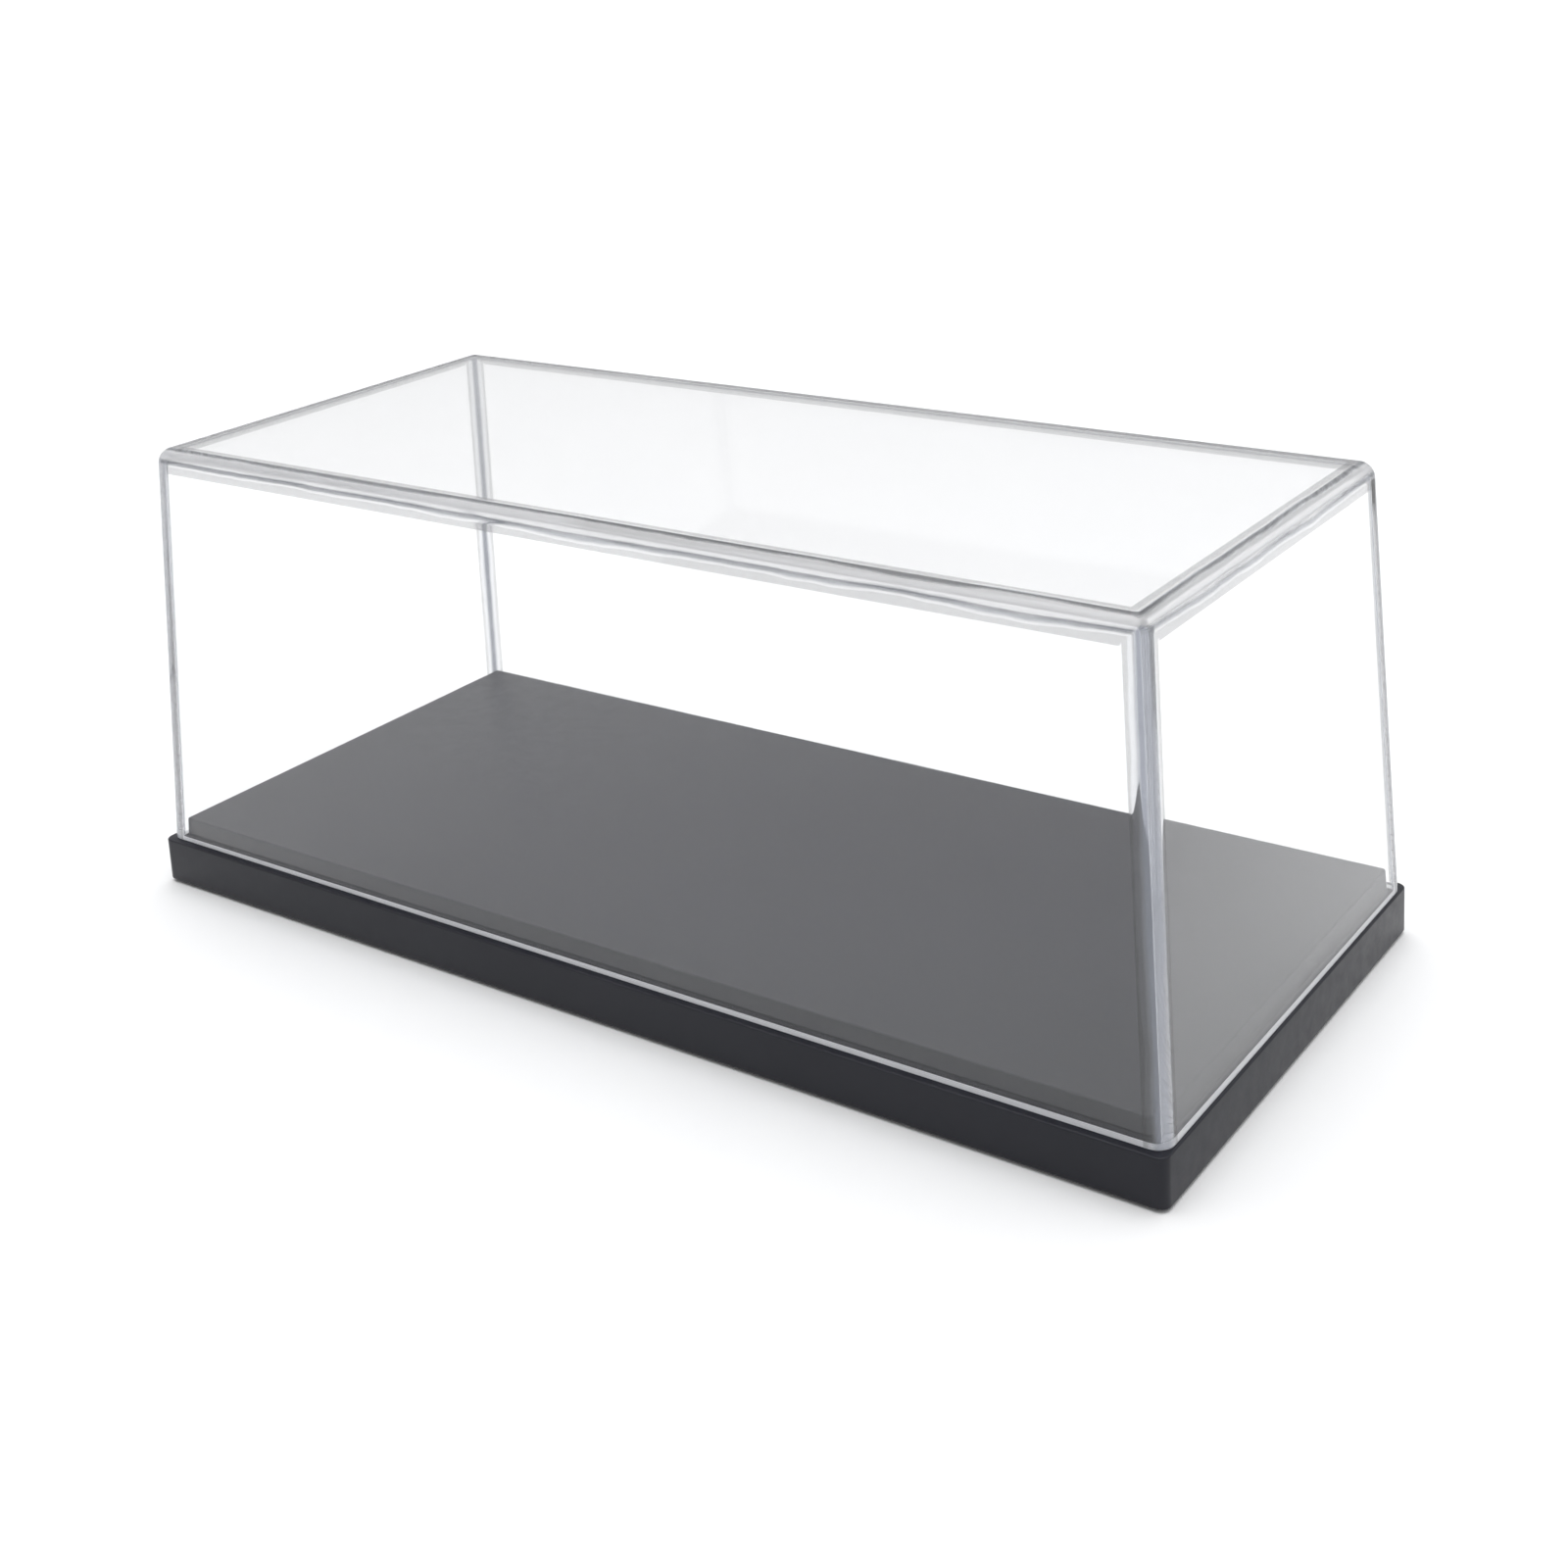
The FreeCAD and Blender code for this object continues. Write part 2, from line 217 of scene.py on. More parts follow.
NORMAL_END = Vector((math.cos(END_LEAN), 0, math.sin(END_LEAN)))
NORMAL_SIDE = Vector((0, math.cos(SIDE_LEAN), math.sin(SIDE_LEAN)))
NORMAL_TOP = Vector((0, 0, 1))


def core_reach(height, inset):
    """Half length and half width, at a height, of the frustum this far inside the cover's planes."""
    rise = height - FLANGE_Z
    return (cover_high.x - inset / math.cos(END_LEAN) - rise * math.tan(END_LEAN),
            cover_high.y - inset / math.cos(SIDE_LEAN) - rise * math.tan(SIDE_LEAN))


def across_stations(reach, step):
    """Stations across the cover: (share of the core, turn into the rounded edge)."""
    flats = flat_stations(-reach, reach, step, FLAT_MARGINS)
    shares = [(position / reach, 0.0) for position in flats]
    arc = [(1.0, math.tan(angle)) for angle in ARC_ANGLES]
    return [(-share, -turn) for share, turn in reversed(arc)] + shares + arc


def height_stations(step):
    """Stations up the cover: (share of the wall's height, turn into the top's rounded edge)."""
    rise = cover_high.z - COVER_ROUND - FLANGE_Z
    flats = flat_stations(0.0, rise, step, FLAT_MARGINS)
    return [(position / rise, 0.0) for position in flats] + [(1.0, math.tan(a)) for a in ARC_ANGLES]


REACH_X, REACH_Y = core_reach(FLANGE_Z, COVER_ROUND)
STATIONS_X = across_stations(REACH_X, FLAT_STEP)
STATIONS_Y = across_stations(REACH_Y, FLAT_STEP)
STATIONS_Z = height_stations(FLAT_STEP)
LAST_X, LAST_Y, LAST_Z = len(STATIONS_X) - 1, len(STATIONS_Y) - 1, len(STATIONS_Z) - 1


def ripple(point, normal, skin):
    """How far a skin sinks below its true shape: gentle flow ripples, strongest on the edges."""
    edge = 1.0 - max(abs(normal.x), abs(normal.y), abs(normal.z))
    edge = min(1.0, max(0.0, edge) * 6.0)
    seed = Vector((3.1, 7.7, 11.3)) * (1 + skin)
    broad = noise.noise(point / RIPPLE_BROAD + seed)
    fine = noise.noise(point / RIPPLE_FINE + seed * 2)
    return RIPPLE_WALL * (broad - 1.0) + edge * RIPPLE_EDGE * (fine - 1.0)


def skin_point(i, j, k, depth, radius, skin):
    """One point of a skin this deep inside the cover's outer planes, with edges of this radius."""
    share_x, turn_x = STATIONS_X[i]
    share_y, turn_y = STATIONS_Y[j]
    share_z, turn_z = STATIONS_Z[k]
    on_x = i in (0, LAST_X)
    on_y = j in (0, LAST_Y)
    on_z = k == LAST_Z
    dx = math.copysign(1.0, turn_x) if on_x else turn_x
    dy = math.copysign(1.0, turn_y) if on_y else turn_y
    dz = 1.0 if on_z else turn_z
    toward_end = Vector((math.copysign(NORMAL_END.x, dx), 0, NORMAL_END.z))
    toward_side = Vector((0, math.copysign(NORMAL_SIDE.y, dy), NORMAL_SIDE.z))
    normal = (abs(dx) * toward_end + abs(dy) * toward_side + dz * NORMAL_TOP).normalized()
    foot = FLANGE_Z + LIP_LIFT + LIP_ROUND - radius * normal.z
    height = foot + (cover_high.z - depth - radius - foot) * share_z
    reach_x, reach_y = core_reach(height, depth + radius)
    point = Vector((reach_x * share_x, reach_y * share_y, height)) + radius * normal
    fade = min(1.0, max(0.0, (point.z - FLANGE_Z - RIPPLE_START) / RIPPLE_FADE))
    return point + normal * ripple(point, normal, skin) * fade


def edge_place(i, j, k, skin):
    """Numbers for a station: in the painted band along an edge (the rounded edge, and on the outer skin
    a strip of the flat) or not, distance from the edge's crest, upright edge or not.

    The distance is nought at the crest and one where the flat begins, and grows on past it.
    """
    steps = sorted((min(i, LAST_X - i), min(j, LAST_Y - j), LAST_Z - k))
    upright = LAST_Z - k > steps[1]
    past = max(0, steps[1] - ARC_STEPS)
    strip = PAINTED_STRIP_UPRIGHT if upright else PAINTED_STRIP_TOP
    in_painted_band = past <= (strip if skin == 0 else 0)
    reach = 0.0 if past == 0 else FLAT_MARGINS[min(past, len(FLAT_MARGINS)) - 1]
    return float(in_painted_band), min(1.0, steps[1] / ARC_STEPS) + reach / COVER_ROUND, float(upright)


def float_layer(bm, name):
    """A named number on every vertex."""
    return bm.verts.layers.float.get(name) or bm.verts.layers.float.new(name)


def add_skin(bm, depth, radius, skin, outward):
    """Add one skin of the cover to bm and return its vertices by station."""
    made = {}
    # A new layer makes earlier handles stale, so all are made before any is kept.
    for name in EDGE_LAYERS:
        float_layer(bm, name)
    layers = [float_layer(bm, name) for name in EDGE_LAYERS]

    def corner(i, j, k):
        if (i, j, k) not in made:
            made[i, j, k] = bm.verts.new(skin_point(i, j, k, depth, radius, skin))
            for layer, value in zip(layers, edge_place(i, j, k, skin)):
                made[i, j, k][layer] = value
        return made[i, j, k]

    def quad(corners, flip):
        verts = [corner(*key) for key in corners]
        if flip != outward:
            verts.reverse()
        bm.faces.new(verts)

    for j in range(LAST_Y):
        for k in range(LAST_Z):
            for i in (0, LAST_X):
                quad([(i, j, k), (i, j + 1, k), (i, j + 1, k + 1), (i, j, k + 1)], i != 0)
    for i in range(LAST_X):
        for k in range(LAST_Z):
            for j in (0, LAST_Y):
                quad([(i, j, k), (i + 1, j, k), (i + 1, j, k + 1), (i, j, k + 1)], j == 0)
        for j in range(LAST_Y):
            quad([(i, j, LAST_Z), (i + 1, j, LAST_Z), (i + 1, j + 1, LAST_Z), (i, j + 1, LAST_Z)], True)
    return made


def foot_ring():
    """Stations round the cover's open lower edge, in order."""
    return ([(i, 0) for i in range(LAST_X)] + [(LAST_X, j) for j in range(LAST_Y)]
            + [(i, LAST_Y) for i in range(LAST_X, 0, -1)] + [(0, j) for j in range(LAST_Y, 0, -1)])


def close_lip(bm, outer, inner):
    """Join the two skins across the lower edge, with both of its corners eased."""
    ring = foot_ring()
    edge_and_lip_mark = bm.verts.layers.float[EDGE_LAYER]
    turns = [math.radians(angle) for angle in (22.5, 45, 67.5, 90)]
    rows = [[outer[i, j, 0] for i, j in ring]]
    across = [(inner[i, j, 0].co - outer[i, j, 0].co).normalized() for i, j in ring]

    def eased(start, direction, turn):
        step = direction * (1 - math.cos(turn)) * LIP_ROUND
        return start + step - Vector((0, 0, math.sin(turn) * LIP_ROUND))

    for turn in turns:
        rows.append([bm.verts.new(eased(outer[i, j, 0].co, across[n], turn))
                     for n, (i, j) in enumerate(ring)])
    for turn in reversed(turns):
        rows.append([bm.verts.new(eased(inner[i, j, 0].co, -across[n], turn))
                     for n, (i, j) in enumerate(ring)])
    # The lip's rows are marked, so the material paints them white as a painted glow and roughens them.
    for vertex in (vertex for row in rows[1:] for vertex in row):
        vertex[edge_and_lip_mark] = LIP_SHARE
    rows.append([inner[i, j, 0] for i, j in ring])
    for upper, lower in zip(rows, rows[1:]):
        for n in range(len(ring)):
            m = (n + 1) % len(ring)
            bm.faces.new([upper[n], lower[n], lower[m], upper[m]])


def make_cover(material):
    """Clear cover: outer and inner skins round one core, joined at the lower edge."""
    bm = bmesh.new()
    outer = add_skin(bm, 0.0, COVER_ROUND, 0, True)
    inner = add_skin(bm, COVER_WALL, INNER_ROUND, 1, False)
    close_lip(bm, outer, inner)
    bmesh.ops.recalc_face_normals(bm, faces=bm.faces)
    return new_object("case_cover_clear", bm, material)


# ---------------------------------------------------------------- ring-stacked mouldings

CORNER_STEPS = 8
DECK_END_INSET = (plinth_high.x - cover_high.x) + COVER_WALL + END_GAP
DECK_SIDE_INSET = (plinth_high.y - cover_high.y) + COVER_WALL + SIDE_GAP


def rounded_ring(bm, half_x, half_y, corner, height):
    """Vertices of one level rounded rectangle, anticlockwise from the front right corner."""
    verts = []
    centres = ((1, -1, -90), (1, 1, 0), (-1, 1, 90), (-1, -1, 180))
    for side_x, side_y, start in centres:
        for step in range(CORNER_STEPS + 1):
            angle = math.radians(start + 90 * step / CORNER_STEPS)
            x = side_x * (half_x - corner) + corner * math.cos(angle)
            y = side_y * (half_y - corner) + corner * math.sin(angle)
            verts.append(bm.verts.new((x, y, height)))
    return verts


def bridge(bm, lower, upper):
    """Quads between two rings of equal length."""
    count = len(lower)
    for n in range(count):
        m = (n + 1) % count
        bm.faces.new([lower[n], lower[m], upper[m], upper[n]])


def eased_profile(points, radius_at, steps=4):
    """Round the corners of an open profile of (inset, height) points where a radius is given."""
    out = []
    for n, point in enumerate(points):
        radius = radius_at.get(n, 0.0)
        if not radius:
            out.append(point)
            continue
        here = Vector(point)
        back = (Vector(points[n - 1]) - here).normalized()
        ahead = (Vector(points[n + 1]) - here).normalized()
        half = back.angle(ahead) / 2
        reach = radius / math.tan(half)
        centre = here + (back + ahead).normalized() * radius / math.sin(half)
        start, end = here + back * reach - centre, here + ahead * reach - centre
        for step in range(steps + 1):
            share = step / steps
            out.append(tuple(centre + start.slerp(end, share) * radius))
    return out


def plinth_section(rim_inset, deck_foot, lean):
    """Half section of the plinth's shell, from its hollow's roof, out and over to the deck's edge."""
    rim_lean = rim_inset / (FLANGE_Z - PLINTH_Z)
    deck_top = deck_foot + (DECK_Z - FLANGE_Z) * math.tan(lean)
    under = FLANGE_Z - PLINTH_WALL
    points = [
        (deck_top + PLINTH_WALL, DECK_Z - PLINTH_WALL),
        (deck_foot + PLINTH_WALL, under),
        (PLINTH_WALL + rim_lean * (under - PLINTH_Z), under),
        (PLINTH_WALL, PLINTH_Z),
        (0.0, PLINTH_Z),
        (rim_inset, FLANGE_Z),
        (deck_foot, FLANGE_Z),
        (deck_top, DECK_Z - DECK_EDGE),
    ]
    radii = {1: 0.5 * MM, 2: 0.5 * MM, 3: 0.25 * MM, 4: 0.25 * MM, 5: RIM_EDGE, 6: DECK_ROOT}
    return eased_profile(points, radii)


def prism(bm, outline, along, low, high):
    """Solid from an outline of (across, height) points, swept along x or y from low to high."""
    ends = []
    for position in (low, high):
        if along == "x":
            ends.append([bm.verts.new((position, across, height)) for across, height in outline])
        else:
            ends.append([bm.verts.new((across, position, height)) for across, height in outline])
    bridge(bm, ends[0], ends[1])
    bm.faces.new(list(reversed(ends[0])))
    bm.faces.new(ends[1])


def make_shell():
    """Plinth shell as rounded rectangles stacked along its sections, closed over the deck."""
    bm = bmesh.new()
    half = plinth_high
    ends = plinth_section(RIM_END_INSET, DECK_END_INSET, END_LEAN)
    sides = plinth_section(RIM_SIDE_INSET, DECK_SIDE_INSET, SIDE_LEAN)
    rings = []
    for (end_inset, end_height), (side_inset, side_height) in zip(ends, sides):
        outside = side_inset < 0.5 * DECK_SIDE_INSET
        corner = RIM_CORNER if outside else DECK_CORNER
        rings.append(rounded_ring(bm, half.x - end_inset, half.y - side_inset, corner,
                                  (end_height + side_height) / 2))
    for step in range(1, 5):
        angle = math.radians(22.5 * step)
        ease = DECK_EDGE * (1 - math.cos(angle))
        rise = DECK_EDGE * math.sin(angle)
        rings.append(rounded_ring(bm, half.x - ends[-1][0] - ease, half.y - sides[-1][0] - ease,
                                  DECK_CORNER - ease, ends[-1][1] + rise))
    for lower, upper in zip(rings, rings[1:]):
        bridge(bm, lower, upper)
    bm.faces.new(rings[0])
    bm.faces.new(rings[-1])
    bmesh.ops.recalc_face_normals(bm, faces=bm.faces)
    return bm


def union(target, others):
    """Join closed meshes into one solid, and return its mesh."""
    for other in others:
        modifier = target.modifiers.new("join", "BOOLEAN")
        modifier.operation = "UNION"
        modifier.solver = "EXACT"
        modifier.object = other
    bpy.context.view_layer.update()
    graph = bpy.context.evaluated_depsgraph_get()
    joined = bpy.data.meshes.new_from_object(target.evaluated_get(graph))
    target.modifiers.clear()
    target.data = joined
    for other in others:
        bpy.data.objects.remove(other)
    return target


def rib_outline(reach_low, reach_high):
    """Stepped outline of a rib: deep under the flange, and narrower up inside the deck."""
    bottom = PLINTH_Z + RIB_RECESS
    shoulder = FLANGE_Z - PLINTH_WALL / 2
    top = DECK_Z - PLINTH_WALL / 2
    return [(-reach_low, bottom), (reach_low, bottom), (reach_low, shoulder), (reach_high, shoulder),
            (reach_high, top), (-reach_high, top), (-reach_high, shoulder), (-reach_low, shoulder)]


def circle_ring(bm, radius, height, centre, count):
    """Vertices of one level circle."""
    return [bm.verts.new((centre[0] + radius * math.cos(2 * math.pi * n / count),
                          centre[1] + radius * math.sin(2 * math.pi * n / count), height))
            for n in range(count)]


def turned(bm, profile, centre, count):
    """Closed solid turned from (radius, height) points, capped at both ends."""
    rings = [circle_ring(bm, radius, height, centre, count) for radius, height in profile]
    for lower, upper in zip(rings, rings[1:]):
        bridge(bm, lower, upper)
    bm.faces.new(list(reversed(rings[0])))
    bm.faces.new(rings[-1])


def make_plinth(material, feet):
    """Black plinth: shell, spine, cross ribs and foot bosses in one moulding."""
    shell = new_object("plinth_moulding", make_shell(), material)
    reach_x = plinth_high.x - PLINTH_WALL / 2 - RIM_END_INSET / 2
    reach_y = plinth_high.y - PLINTH_WALL / 2 - RIM_SIDE_INSET / 2
    deck_x = plinth_high.x - DECK_END_INSET - PLINTH_WALL / 2 - 0.5 * MM
    deck_y = plinth_high.y - DECK_SIDE_INSET - PLINTH_WALL / 2 - 0.5 * MM
    half_rib = RIB_THICKNESS / 2
    parts = []

    def add(build):
        bm = bmesh.new()
        build(bm)
        bmesh.ops.recalc_face_normals(bm, faces=bm.faces)
        parts.append(new_object("plinth_part", bm, material))

    add(lambda bm: prism(bm, rib_outline(reach_x, deck_x), "y", -half_rib, half_rib))
    for n in range(CROSS_RIBS):
        x = (n - (CROSS_RIBS - 1) / 2) * RIB_PITCH
        add(lambda bm: prism(bm, rib_outline(reach_y, deck_y), "x", x - half_rib, x + half_rib))
    ease = 0.2 * MM
    seat = feet[0][1].z
    shoulder = FLANGE_Z - PLINTH_WALL / 2
    for low, high in feet:
        centre = (low + high) / 2
        profile = [(FOOT_SEAT / 2, seat), (FOOT_SEAT / 2, PLINTH_Z + ease),
                   (FOOT_SEAT / 2 + ease, PLINTH_Z), (FOOT_BOSS / 2 - ease, PLINTH_Z),
                   (FOOT_BOSS / 2, PLINTH_Z + ease), (FOOT_BOSS / 2, shoulder)]
        add(lambda bm: turned(bm, profile, centre, 48))
    union(shell, parts)
    for polygon in shell.data.polygons:
        polygon.use_smooth = True
    shell.data.set_sharp_from_angle(angle=math.radians(35))
    return shell


def make_foot(name, low, high, material):
    """Self-adhesive rubber foot: a low dome-edged disc."""
    bm = bmesh.new()
    centre = (low + high) / 2
    radius = (high.x - low.x) / 2
    profile = []
    for step in range(7):
        angle = math.radians(15 * step)
        profile.append((radius - FOOT_ROUND * (1 - math.sin(angle)),
                        low.z + FOOT_ROUND * (1 - math.cos(angle))))
    for step in range(4):
        angle = math.radians(30 * step)
        profile.append((radius - FOOT_EASE * (1 - math.cos(angle)),
                        high.z - FOOT_EASE * (1 - math.sin(angle))))
    turned(bm, profile, centre, 56)
    return new_object(name, bm, material, 35)


# ---------------------------------------------------------------- materials

class Nodes:
    """Small helper that adds and links shader nodes in one tree."""

    def __init__(self, tree):
        self.tree = tree
        tree.nodes.clear()

    def add(self, kind, **values):
        """Add a node; keyword values set inputs by name, and a trailing underscore sets a property."""
        node = self.tree.nodes.new(kind)
        for key, value in values.items():
            if key.endswith("_"):
                setattr(node, key[:-1], value)
            else:
                self.put(node, key.replace("__", " "), value)
        return node

    def put(self, node, key, value):
        """Link a socket to an input, or set the input's value."""
        socket = node.inputs[int(key[1:])] if key[0] == "i" and key[1:].isdigit() else node.inputs[key]
        if isinstance(value, bpy.types.NodeSocket):
            self.tree.links.new(value, socket)
        else:
            socket.default_value = value

    def math(self, operation, a, b=0.0, clamp=False):
        node = self.add("ShaderNodeMath", operation_=operation, use_clamp_=clamp, i0=a, i1=b)
        return node.outputs[0]

    def noise(self, vector, scale, detail=2.0, roughness=0.5):
        """Noise with about this many features in a metre."""
        node = self.add("ShaderNodeTexNoise", Vector=vector, Scale=scale, Detail=detail,
                        Roughness=roughness)
        return node.outputs["Fac"]

    def ramp(self, value, low, high, start=0.0, end=1.0):
        """Map a value from low..high to start..end, held at both ends."""
        node = self.add("ShaderNodeMapRange", Value=value)
        for key, number in zip(("From Min", "From Max", "To Min", "To Max"), (low, high, start, end)):
            node.inputs[key].default_value = number
        return node.outputs[0]

    def spread(self, value, start=0.0, end=1.0):
        """Map the range a noise mostly stays in, 0.3 to 0.7, to start..end."""
        return self.ramp(value, 0.3, 0.7, start, end)

    def mix(self, share, a, b):
        """Blend two colours."""
        node = self.add("ShaderNodeMix", data_type_="RGBA")
        self.put(node, "i0", share)
        self.put(node, "i6", a)
        self.put(node, "i7", b)
        return node.outputs[2]

    def specks(self, vector, pitch, share, size):
        """Sparse round specks: one in a share of the cells, each about this size."""
        node = self.add("ShaderNodeTexVoronoi", Vector=vector, Scale=1 / pitch, Randomness=1.0)
        chance = self.add("ShaderNodeSeparateColor", Color=node.outputs["Color"])
        chosen = self.math("LESS_THAN", chance.outputs[0], share)
        reach = self.math("MULTIPLY", chance.outputs[1], size / pitch)
        near = self.math("LESS_THAN", node.outputs["Distance"], reach)
        return self.math("MULTIPLY", chosen, near)


def new_material(name):
    material = bpy.data.materials.new(name)
    material.use_nodes = True
    nodes = Nodes(material.node_tree)
    place = nodes.add("ShaderNodeTexCoord").outputs["Object"]
    return material, nodes, place


def black_plastic():
    """Black moulded plastic with a fine satin grain, a little dust and faint wear."""
    material, nodes, place = new_material("black_plastic")
    broad = nodes.noise(place, 18.0, 3.0)
    grain = nodes.noise(place, GRAIN_PITCH, 3.0, 0.6)
    middle = nodes.noise(place, 320.0, 4.0, 0.6)
    dust = nodes.specks(place, pitch=6.5 * MM, share=0.22, size=0.22 * MM)
    fine_dust = nodes.specks(place, pitch=2.2 * MM, share=0.10, size=0.10 * MM)
    all_dust = nodes.math("MAXIMUM", dust, fine_dust)
    base = nodes.mix(nodes.ramp(broad, 0.35, 0.65), BLACK_LOW, BLACK_HIGH)
    base = nodes.mix(nodes.math("MULTIPLY", all_dust, DUST_COVER), base, DUST_COLOUR)
    rough = nodes.spread(middle, BLACK_ROUGH - ROUGH_SPREAD, BLACK_ROUGH + ROUGH_SPREAD)
    rough = nodes.math("ADD", rough, nodes.spread(broad, *WEAR_SPREAD))
    rough = nodes.math("MAXIMUM", rough, nodes.math("MULTIPLY", all_dust, DUST_ROUGH))
    rough = nodes.math("ADD", rough, nodes.spread(grain, -GRAIN_SPREAD, GRAIN_SPREAD))
    wide = nodes.add("ShaderNodeBump", Strength=0.05, Distance=0.03 * MM, Height=middle)
    shader = nodes.add("ShaderNodeBsdfPrincipled", Base__Color=base, Roughness=rough, IOR=BLACK_IOR,
                       Normal=wide.outputs[0])
    nodes.add("ShaderNodeOutputMaterial", Surface=shader.outputs[0])
    return material


def foot_rubber():
    """Dark matt rubber with a fine open grain."""
    material, nodes, place = new_material("foot_rubber")
    grain = nodes.noise(place, 1500.0, 4.0, 0.65)
    patches = nodes.noise(place, 260.0, 2.0)
    base = nodes.mix(nodes.ramp(patches, 0.35, 0.65), RUBBER_LOW, RUBBER_HIGH)
    rough = nodes.spread(grain, RUBBER_ROUGH_LOW, RUBBER_ROUGH_HIGH)
    bump = nodes.add("ShaderNodeBump", Strength=0.5, Distance=0.05 * MM, Height=grain)
    shader = nodes.add("ShaderNodeBsdfPrincipled", Base__Color=base, Roughness=rough,
                       Normal=bump.outputs[0])
    nodes.add("ShaderNodeOutputMaterial", Surface=shader.outputs[0])
    return material


def clear_plastic():
    """Clear moulded plastic with faint smears, flow ripples and hairline scratches, and painted light:
    painted greys on its rounded edges and a painted glow on its lower lip.
    """
    material, nodes, place = new_material("clear_plastic")
    smears = nodes.noise(place, 26.0, 4.0, 0.6)
    flow = nodes.noise(place, 55.0, 2.0)
    rough = nodes.ramp(smears, 0.45, 0.75, CLEAR_ROUGH_LOW, CLEAR_ROUGH_HIGH)
    stretched = nodes.add("ShaderNodeMapping", Vector=place)
    stretched.inputs["Rotation"].default_value = HAIRLINE_TURN
    stretched.inputs["Scale"].default_value = HAIRLINE_STRETCH
    hairlines = nodes.ramp(nodes.noise(stretched.outputs[0], 1.0, 1.0), *HAIRLINE_CUT)
    rough = nodes.math("ADD", rough, nodes.math("MULTIPLY", hairlines, HAIRLINE_ROUGH))
    edge = nodes.add("ShaderNodeAttribute", attribute_name_=EDGE_LAYER).outputs["Fac"]
    round_share = nodes.math("MINIMUM", edge, 1.0)
    lip_share = nodes.ramp(edge, 1.0, LIP_SHARE)
    flow_rough = nodes.spread(flow, EDGE_ROUGH_LOW, EDGE_ROUGH_HIGH)
    edge_rough = nodes.math("MULTIPLY", round_share, flow_rough)
    edge_rough = nodes.math("ADD", edge_rough, nodes.math("MULTIPLY", lip_share, LIP_ROUGH))
    rough = nodes.math("ADD", rough, edge_rough)
    bump = nodes.add("ShaderNodeBump", Strength=0.3, Distance=0.02 * MM, Height=flow)
    tint_and_painted_light = nodes.mix(nodes.spread(smears), CLEAR_LOW, CLEAR_HIGH)
    # Painted light across an edge, in place of light bent and guided through the rounded plastic: top
    # edges get a painted dark line each side of a painted pale crest, upright ones a painted dark
    # crest.
    away = nodes.add("ShaderNodeAttribute", attribute_name_=TURN_LAYER).outputs["Fac"]
    away = nodes.math("ADD", away, nodes.spread(flow, -EDGE_WANDER, EDGE_WANDER))
    line = nodes.math("ABSOLUTE", nodes.math("SUBTRACT", away, EDGE_LINE_PLACE))
    line = nodes.ramp(line, *EDGE_LINE_FADE, 1.0, 0.0)
    upright = nodes.add("ShaderNodeAttribute", attribute_name_=UPRIGHT_LAYER).outputs["Fac"]
    painted_top_band = nodes.mix(line, PAINTED_EDGE_LIGHT, PAINTED_EDGE_DARK_LINE)
    painted_upright_band = nodes.mix(nodes.ramp(away, *UPRIGHT_FADE), PAINTED_UPRIGHT_CREST_SHADE, PAINTED_UPRIGHT_LIGHT)
    across = nodes.mix(upright, painted_top_band, painted_upright_band)
    # A painted grey strip runs on past each edge onto the flat.
    across = nodes.mix(nodes.ramp(away, *STRIP_FADE), across, PAINTED_STRIP_GREY)
    tint_and_painted_light = nodes.mix(round_share, tint_and_painted_light, across)
    # Painted glow on the lip: white painted where light guided down the wall would shine out.
    tint_and_painted_light = nodes.mix(lip_share, tint_and_painted_light, PAINTED_LIP_GLOW)
    # Edges and lip are made partly opaque, so their painted greys and painted glow show whatever lies
    # behind them.
    veil = nodes.math("SUBTRACT", 1.0, nodes.ramp(away, *CREST_FADE, CREST_CLARITY, EDGE_CLARITY))
    clarity = nodes.math("SUBTRACT", 1.0, nodes.math("MULTIPLY", round_share, veil))
    lip_veil = nodes.math("MULTIPLY", lip_share, EDGE_CLARITY - LIP_CLARITY)
    clarity = nodes.math("SUBTRACT", clarity, lip_veil)
    shader = nodes.add("ShaderNodeBsdfPrincipled", Base__Color=tint_and_painted_light, Roughness=rough, IOR=CLEAR_IOR,
                       Normal=bump.outputs[0], Transmission__Weight=clarity)
    clear = nodes.add("ShaderNodeBsdfTransparent", Color=CLEAR_SHADOW)
    path = nodes.add("ShaderNodeLightPath")
    both = nodes.add("ShaderNodeMixShader")
    nodes.put(both, "i0", path.outputs["Is Shadow Ray"])
    nodes.put(both, "i1", shader.outputs[0])
    nodes.put(both, "i2", clear.outputs[0])
    nodes.add("ShaderNodeOutputMaterial", Surface=both.outputs[0])
    return material


def pale_floor():
    """Plain white floor."""
    material, nodes, place = new_material("studio_floor")
    shade = nodes.mix(nodes.noise(place, 6.0, 3.0), FLOOR_LOW, FLOOR_HIGH)
    shader = nodes.add("ShaderNodeBsdfPrincipled", Base__Color=shade, Roughness=FLOOR_ROUGH,
                       IOR=FLOOR_IOR)
    nodes.add("ShaderNodeOutputMaterial", Surface=shader.outputs[0])
    return material


# ---------------------------------------------------------------- the case

black = black_plastic()
rubber = foot_rubber()
clear = clear_plastic()

cover = make_cover(clear)
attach(cover, "cover")
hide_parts("clear_cover")

foot_nodes = [name for name in sorted(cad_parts) if "foot" in name]
foot_boxes = [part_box(name) for name in foot_nodes]
plinth = make_plinth(black, foot_boxes)
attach(plinth, "base")
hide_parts("base_plinth")

for node_name, (low, high) in zip(foot_nodes, foot_boxes):
    foot = make_foot("pad_" + node_name, low, high, rubber)
    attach(foot, "base")
    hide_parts(node_name)

# ---------------------------------------------------------------- studio

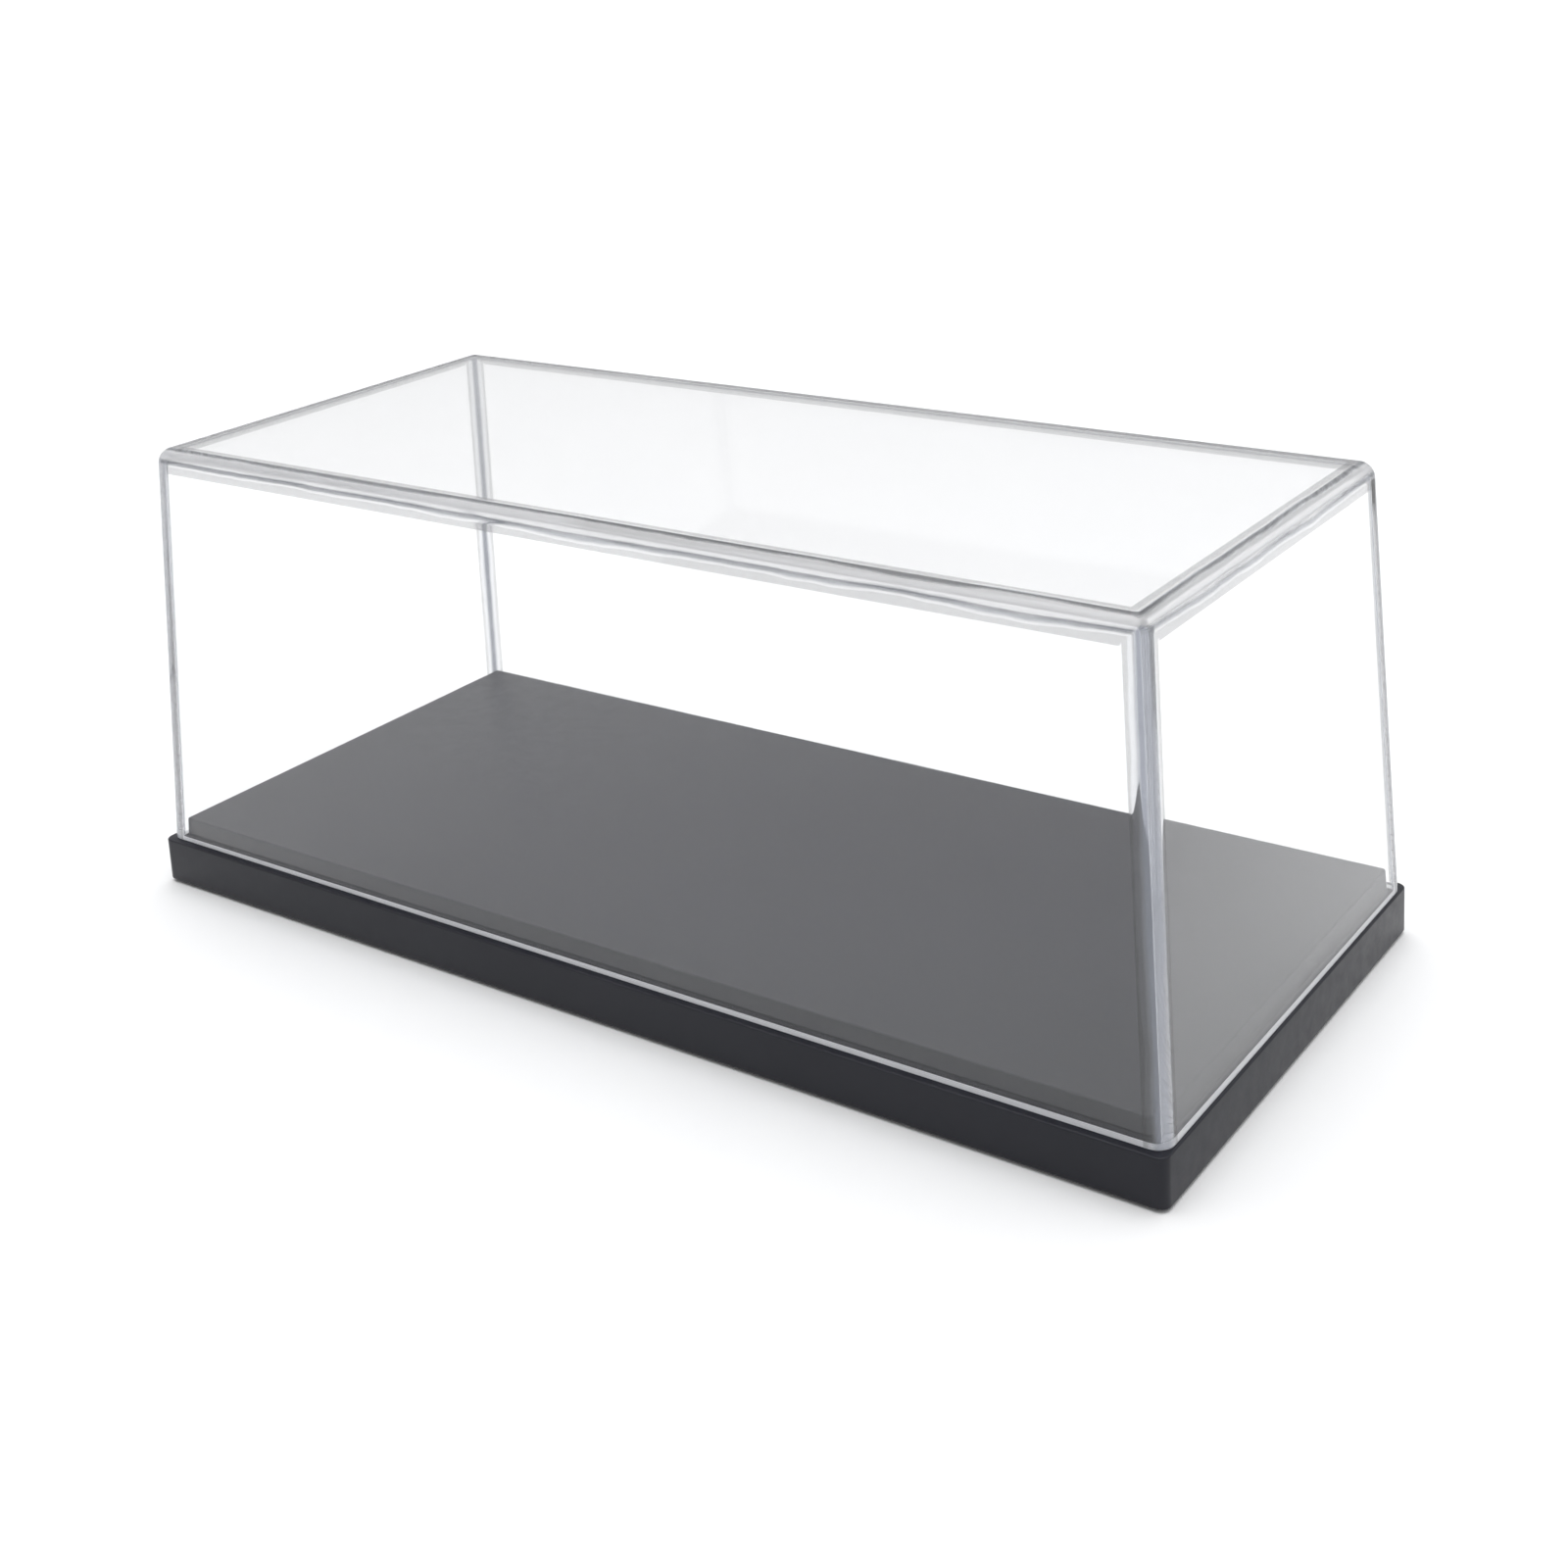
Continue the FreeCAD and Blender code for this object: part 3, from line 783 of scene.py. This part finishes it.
floor_mesh = bmesh.new()
corners = [floor_mesh.verts.new((x * FLOOR_REACH, y * FLOOR_REACH, 0.0))
           for x, y in ((-1, -1), (1, -1), (1, 1), (-1, 1))]
floor_mesh.faces.new(corners)
floor = new_object("studio_floor", floor_mesh, pale_floor())

world = bpy.data.worlds.new("studio")
bpy.context.scene.world = world
world.use_nodes = True
sky = Nodes(world.node_tree)
direction = sky.add("ShaderNodeTexCoord").outputs["Generated"]
behind = sky.add("ShaderNodeVectorMath", operation_="DOT_PRODUCT")
sky.put(behind, "i0", direction)
sky.put(behind, "i1", DIM_SIDE)
level = sky.ramp(behind.outputs["Value"], *DIM_RANGE, SKY_BRIGHT, SKY_DIM)
height = sky.add("ShaderNodeSeparateXYZ", Vector=direction).outputs["Z"]
level = sky.math("ADD", level, sky.ramp(height, 0.0, COVE_HEIGHT, COVE_GLOW, 0.0))
overhead = sky.add("ShaderNodeVectorMath", operation_="DOT_PRODUCT")
sky.put(overhead, "i0", direction)
sky.put(overhead, "i1", OVERHEAD)
glow = sky.add("ShaderNodeMapRange", interpolation_type_="SMOOTHSTEP", Value=overhead.outputs["Value"])
for key, number in zip(("From Min", "From Max", "To Max"), (*OVERHEAD_RANGE, OVERHEAD_GLOW)):
    glow.inputs[key].default_value = number
level = sky.math("ADD", level, glow.outputs[0])
background = sky.add("ShaderNodeBackground", Color=SKY_COLOUR, Strength=level)
sky.add("ShaderNodeOutputWorld", Surface=background.outputs[0])

key_data = bpy.data.lights.new("overhead_key", "SUN")
key_data.energy = KEY_STRENGTH
key_data.angle = KEY_SPREAD
key = bpy.data.objects.new("overhead_key", key_data)
key.location = KEY_PLACE
key.rotation_euler = (-key.location).to_track_quat("-Z", "Y").to_euler()
bpy.context.scene.collection.objects.link(key)

# Light that is guided along inside the cover's walls and edges needs many bounces to get out.
cycles = bpy.context.scene.cycles
cycles.max_bounces = LIGHT_BOUNCES
cycles.transmission_bounces = LIGHT_BOUNCES
cycles.glossy_bounces = LIGHT_BOUNCES

# ---------------------------------------------------------------- camera

camera_data = bpy.data.cameras.new("camera")
camera_data.sensor_width = SENSOR_WIDTH
camera_data.lens = CAMERA_LENS
camera_data.clip_end = 100.0
camera = bpy.data.objects.new("camera", camera_data)
bpy.context.scene.collection.objects.link(camera)
ahead = Vector(CAMERA_AHEAD).normalized()
right = Vector(CAMERA_RIGHT)
right = (right - ahead * right.dot(ahead)).normalized()
up = right.cross(ahead)
turn = Matrix((right, up, -ahead)).transposed()
camera.matrix_world = Matrix.Translation(CAMERA_PLACE) @ turn.to_4x4()
bpy.context.scene.camera = camera

bpy.context.scene.view_settings.view_transform = "Standard"
